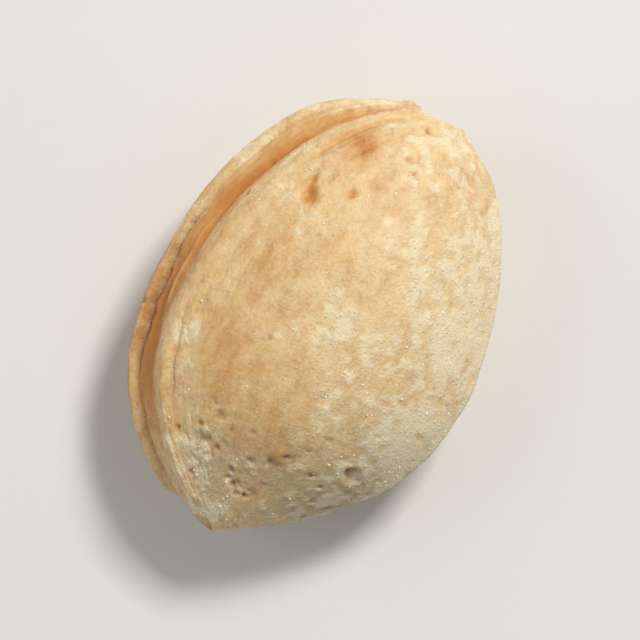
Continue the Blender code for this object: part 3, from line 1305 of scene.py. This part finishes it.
@dataclass(frozen=True)
class StoneShell:
    """The stone's shell with all its relief."""

    name: str = "salted_shell"
    body: StoneBody = StoneBody()
    survey: Survey = Survey()
    folds: KeelFolds = KeelFolds()
    scar: StalkScar = StalkScar()
    back_edge: BackEdge = BackEdge()
    pitting: Pitting = Pitting()
    texture: Texture = Texture()
    salt: SaltCover = SaltCover()
    bare: BareShell = BareShell()
    keel_rise: float = 0.85
    furrow_depth: float = 0.6
    wrinkle_depth: float = 0.06
    dimple_depth: float = 0.06
    pit_depth: float = 0.18
    grit_height: float = 0.03
    crust_thickness: float = 0.042
    flat_spot_depth: float = 0.22
    torn_edges: Warp = Warp(0.5, 0.16)
    narrow_end_power: float = 0.5
    blemishes: tuple[Blemish, ...] = (
        Blemish(5.65, 4.1, 0.5, 0.24, 0.04),
        Blemish(6.2, 4.2, 0.34, 0.13),
        Blemish(6.65, 4.25, 0.22, 0.08),
        Blemish(6.95, 2.06, 0.28, 0.15, 0.04),
        Blemish(-6.6, -5.2, 0.42, 0.26, 0.1),
        Blemish(-7.5, -1.2, 0.5, -0.14),
        Blemish(-8.0, 3.4, 0.2, 0.17),
        Blemish(-8.75, 4.4, 0.16, 0.14),
        Blemish(-7.5, 1.7, 0.14, 0.11),
        Blemish(-8.8, 2.0, 0.2, 0.15),
        Blemish(-10.6, 2.6, 0.15, 0.13),
        Blemish(-10.1, 0.3, 0.22, 0.17),
        Blemish(-10.35, -0.55, 0.14, 0.13),
        Blemish(10.1, 0.25, 0.17, 0.15),
        Blemish(12.0, 0.1, 0.14, 0.12),
        Blemish(9.5, -0.4, 0.14, 0.12),
    )

    def build(self, finish: SaltedShell) -> bpy.types.Object:
        """Builds and dresses the shell where the solid lies.

        Args:
            finish: The shell's finish.

        Returns:
            The finished piece.
        """
        low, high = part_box(SOLID)
        scale = (high.x - low.x) / self.body.solid_length
        plain = bpy.data.objects.new("plain_body", self.body.mesh(scale))
        bpy.context.scene.collection.objects.link(plain)
        shell = self.relief_tree(scale, finish).settle(plain, self.name)
        bpy.data.objects.remove(plain)
        self.set_down(shell, low, high)
        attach(shell, BODY)
        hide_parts(SOLID)
        return shell

    @staticmethod
    def set_down(shell: bpy.types.Object, low: Vector, high: Vector) -> None:
        """Moves the mesh to lie where the solid lies.

        Args:
            shell: The shell.
            low: The solid's lowest corner.
            high: The solid's highest corner.
        """
        points = np.empty(len(shell.data.vertices) * 3, np.float32)
        shell.data.vertices.foreach_get("co", points)
        points = points.reshape(-1, 3)
        middle = (points.min(0) + points.max(0)) / 2
        wanted = (low + high) / 2
        move = Vector((wanted.x - middle[0], wanted.y - middle[1], low.z - points[:, 2].min()))
        shell.data.transform(Matrix.Translation(move))

    def relief_tree(self, scale: float, finish: SaltedShell) -> GeometryTree:
        """The tree that raises the relief out of the plain body and keeps the finish's masks.

        Args:
            scale: Metres for each millimetre of these sizes.
            finish: The shell's finish.

        Returns:
            The tree.
        """
        tree = GeometryTree(
            "stone_relief",
            {
                "Unit": scale,
                "Keel Rise": self.keel_rise,
                "Furrow Depth": self.furrow_depth,
                "Wrinkle Depth": self.wrinkle_depth,
                "Dimple Depth": self.dimple_depth,
                "Pit Depth": self.pit_depth,
                "Grit Height": self.grit_height,
                "Crust Thickness": self.crust_thickness,
                "Flat Spot Depth": self.flat_spot_depth,
                "Finish": finish.material(),
            },
        )
        at = self.survey.ground(tree)
        torn = self.torn_edges.of(at.place).parts()
        blemishes = {blemish: blemish.distance(torn) for blemish in self.blemishes}
        salt = self.salt.share(at, self.folds)
        crust = self.salt.crust(at, salt)
        pits = self.pitting.depth(at)
        height = (
            self.folds.height(at) * at.crowd**self.narrow_end_power
            + self.scar.height(at)
            + self.back_edge.height(at)
            + self.texture.height(at)
            + sum(b.height(d) for b, d in blemishes.items()) * at.upper
            - pits * tree.given("Pit Depth")
            + crust * tree.given("Crust Thickness")
        )
        masks = {
            "salt": self.salt.on_show(at, salt, blemishes),
            "crust": crust,
            "furrow": self.bare.brown(at, self.folds, blemishes),
            "deep": self.bare.deep(at, self.folds, pits),
            # Dust and painted shade towards the beak.
            "dust_and_painted_shade": self.bare.dust_and_painted_shade(at),
        }
        geometry = tree.start()
        for name, mask in masks.items():
            geometry = tree.keep(geometry, name, mask)
        normal = tree.field("GeometryNodeInputNormal", {}, {})
        values = {"Geometry": geometry, "Offset": normal.scaled(height * tree.given("Unit"))}
        raised = tree.field("GeometryNodeSetPosition", {}, values)
        tree.close(self.press_flat_spot(tree, raised))
        return tree

    @staticmethod
    def press_flat_spot(tree: GeometryTree, geometry: Field) -> Field:
        """Lifts the lowest points of the lower cheek to one level.

        Args:
            tree: The relief's tree.
            geometry: The stone with its relief.

        Returns:
            The stone with the spot that it rests on.
        """
        position = tree.field("GeometryNodeInputPosition", {}, {})
        x, y, z = position.parts()
        lowest = tree.field(
            "GeometryNodeAttributeStatistic", {}, {"Geometry": geometry, "Attribute": z}, "Min"
        )
        level = lowest + tree.given("Flat Spot Depth") * tree.given("Unit")
        pressed = tree.field("ShaderNodeCombineXYZ", {}, {0: x, 1: y, 2: z.at_least(level)})
        values = {"Geometry": geometry, "Position": pressed}
        return tree.field("GeometryNodeSetPosition", {}, values)


@dataclass(frozen=True)
class SaltGrains:
    """The loose grains of salt that cling to the shell."""

    name: str = "salt_grains"
    count_per_square_mm: float = 9.0
    smallest: float = 0.035
    largest: float = 0.13
    rarity: float = 3.0
    clear_of_floor: float = 0.2
    salted: Zone = Zone(0.2, 0.95)
    kept_off_grey: float = 0.8
    flattest: Stretch = (0.6, 0.6, 0.5)
    seed: int = 7
    flatness_seed: int = 3

    def build(self, shell: bpy.types.Object, finish: SaltCrystal) -> bpy.types.Object:
        """Scatters and dresses the grains.

        Args:
            shell: The shell that they lie on.
            finish: The grains' finish.

        Returns:
            The finished piece.
        """
        grains = self.scatter_tree(finish).settle(shell, self.name)
        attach(grains, BODY)
        return grains

    def scatter_tree(self, finish: SaltCrystal) -> GeometryTree:
        """The tree that scatters the grains where salt lies on the shell.

        Args:
            finish: The grains' finish.

        Returns:
            The tree.
        """
        tree = GeometryTree(
            "salt_scatter",
            {
                "Grains Per Square Metre": self.count_per_square_mm / MM**2,
                "Smallest": self.smallest * MM,
                "Largest": self.largest * MM,
                "Clear Of Floor": self.clear_of_floor * MM,
                "Seed": self.seed,
                "Finish": finish.material(),
            },
        )
        height = tree.field("GeometryNodeInputPosition", {}, {}).parts()[2]
        clear = tree.math("GREATER_THAN", height, tree.given("Clear Of Floor"))
        # Fewer grains where dust and painted shade dull the shell.
        off_dust_and_painted_shade = 1 - tree.attribute("dust_and_painted_shade") * self.kept_off_grey
        cover = self.salted.rise(tree.attribute("salt")) * off_dust_and_painted_shade * clear
        points = tree.field(
            "GeometryNodeDistributePointsOnFaces",
            {},
            {
                "Mesh": tree.start(),
                "Density": cover * tree.given("Grains Per Square Metre"),
                "Seed": tree.given("Seed"),
            },
        )
        chance = self.chance(tree, "FLOAT", {"Seed": tree.given("Seed")}, 1)
        span = tree.given("Largest") - tree.given("Smallest")
        size = tree.given("Smallest") + chance**self.rarity * span
        full_turn = (math.tau, math.tau, math.tau)
        turn = self.chance(tree, "FLOAT_VECTOR", {1: full_turn, "Seed": tree.given("Seed")}, 0)
        shapes = {0: self.flattest, "Seed": self.flatness_seed}
        flatness = self.chance(tree, "FLOAT_VECTOR", shapes, 0)
        grain = tree.field("GeometryNodeMeshCube", {}, {"Size": (1.0, 1.0, 1.0)})
        placed = tree.field(
            "GeometryNodeInstanceOnPoints",
            {},
            {
                "Points": points,
                "Instance": grain,
                "Rotation": tree.field("FunctionNodeEulerToRotation", {}, {0: turn}),
                "Scale": flatness.scaled(size),
            },
        )
        tree.close(placed)
        return tree

    @staticmethod
    def chance(tree: GeometryTree, data_type: str, values: Mapping[Any, Any], output: int) -> Field:
        """A random value for each grain, from the output that holds its kind."""
        return tree.field("FunctionNodeRandomValue", {"data_type": data_type}, values, output)


@dataclass(frozen=True)
class SoftLight:
    """One square soft light, placed by where the picture shows its direction."""

    name: str
    picture_turn: float
    elevation: float
    distance: float
    size: float
    energy: float
    colour: tuple[float, float, float] = (1.0, 1.0, 1.0)


@dataclass(frozen=True)
class Studio:
    """The floor, the lights and the camera, which looks straight down as the photograph does."""

    axis_turn: float = 28.5
    camera_height: float = 300.0
    lens: float = 300.0
    look_at: tuple[float, float] = (0.0, 0.0)
    floor_size: float = 2400.0
    world_strength: float = 0.32
    world_colour: Colour = (0.97, 0.98, 1.0, 1.0)
    lights: tuple[SoftLight, ...] = (
        SoftLight("key_light", 36.0, 52.0, 420.0, 95.0, 1.3, (1.0, 0.97, 0.93)),
        SoftLight("fill_light", 280.0, 40.0, 460.0, 300.0, 0.32, (0.95, 0.98, 1.0)),
    )

    def build(self, floor_finish: PaperFloor) -> None:
        """Builds the whole studio.

        Args:
            floor_finish: The floor's finish.
        """
        self.floor(floor_finish)
        self.world()
        for light in self.lights:
            self.hang(light)
        self.camera()
        bpy.context.scene.view_settings.view_transform = "Standard"

    def picture_axes(self) -> tuple[Vector, Vector]:
        """The picture's right and up, in the stone's frame."""
        turn = math.radians(self.axis_turn)
        return Vector((math.sin(turn), -math.cos(turn), 0)), Vector((math.cos(turn), math.sin(turn), 0))

    def floor(self, finish: PaperFloor) -> None:
        """Lays the floor just under the stone.

        Args:
            finish: The floor's finish.
        """
        half = self.floor_size / 2 * MM
        mesh = bpy.data.meshes.new("floor")
        corners = [(-half, -half, 0), (half, -half, 0), (half, half, 0), (-half, half, 0)]
        mesh.from_pydata(corners, [], [(0, 1, 2, 3)])
        mesh.materials.append(finish.material())
        floor = bpy.data.objects.new("floor", mesh)
        bpy.context.scene.collection.objects.link(floor)

    def world(self) -> None:
        """Lights the scene evenly from all round."""
        world = bpy.data.worlds.new("pale_room")
        world.use_nodes = True
        background = {"Strength": self.world_strength, "Color": self.world_colour}
        Sheet(world.node_tree).feed(world.node_tree.nodes["Background"], background)
        bpy.context.scene.world = world

    def hang(self, light: SoftLight) -> None:
        """Hangs a light that faces the stone.

        Args:
            light: The light. Its turn is clockwise in the picture, from its top.
        """
        right, up = self.picture_axes()
        turn = math.radians(light.picture_turn)
        tilt = math.radians(light.elevation)
        level = right * math.sin(turn) + up * math.cos(turn)
        away = level * math.cos(tilt) + Vector((0, 0, math.sin(tilt)))
        lamp = bpy.data.lights.new(light.name, "AREA")
        lamp.energy = light.energy
        lamp.size = light.size * MM
        lamp.color = light.colour
        thing = bpy.data.objects.new(light.name, lamp)
        thing.location = away * light.distance * MM
        thing.rotation_euler = (-away).to_track_quat("-Z", "Y").to_euler()
        bpy.context.scene.collection.objects.link(thing)

    def camera(self) -> None:
        """Places the camera straight above the stone."""
        right, up = self.picture_axes()
        camera = bpy.data.objects.new("camera", bpy.data.cameras.new("camera"))
        camera.data.lens = self.lens
        turned = Matrix((right, up, Vector((0, 0, 1)))).transposed().to_4x4()
        place = right * self.look_at[0] * MM + up * self.look_at[1] * MM
        place.z = self.camera_height * MM
        camera.matrix_world = Matrix.Translation(place) @ turned
        bpy.context.scene.collection.objects.link(camera)
        bpy.context.scene.camera = camera


def report(piece: bpy.types.Object) -> None:
    """Logs a piece's name and size.

    Args:
        piece: The piece.
    """
    mesh = piece.data
    mesh.calc_loop_triangles()
    sizes = " x ".join(f"{side / MM:.2f}" for side in piece.dimensions)
    LOG.info("%s: %s mm, %d triangles", piece.name, sizes, len(mesh.loop_triangles))


def main() -> None:
    """Builds the studio and the stone, piece by piece."""
    logging.basicConfig(level=logging.INFO, format="%(message)s")
    Studio().build(PaperFloor())
    shell = StoneShell().build(SaltedShell())
    report(shell)
    grains = SaltGrains().build(shell, SaltCrystal())
    report(grains)


if __name__ == "__main__":
    main()
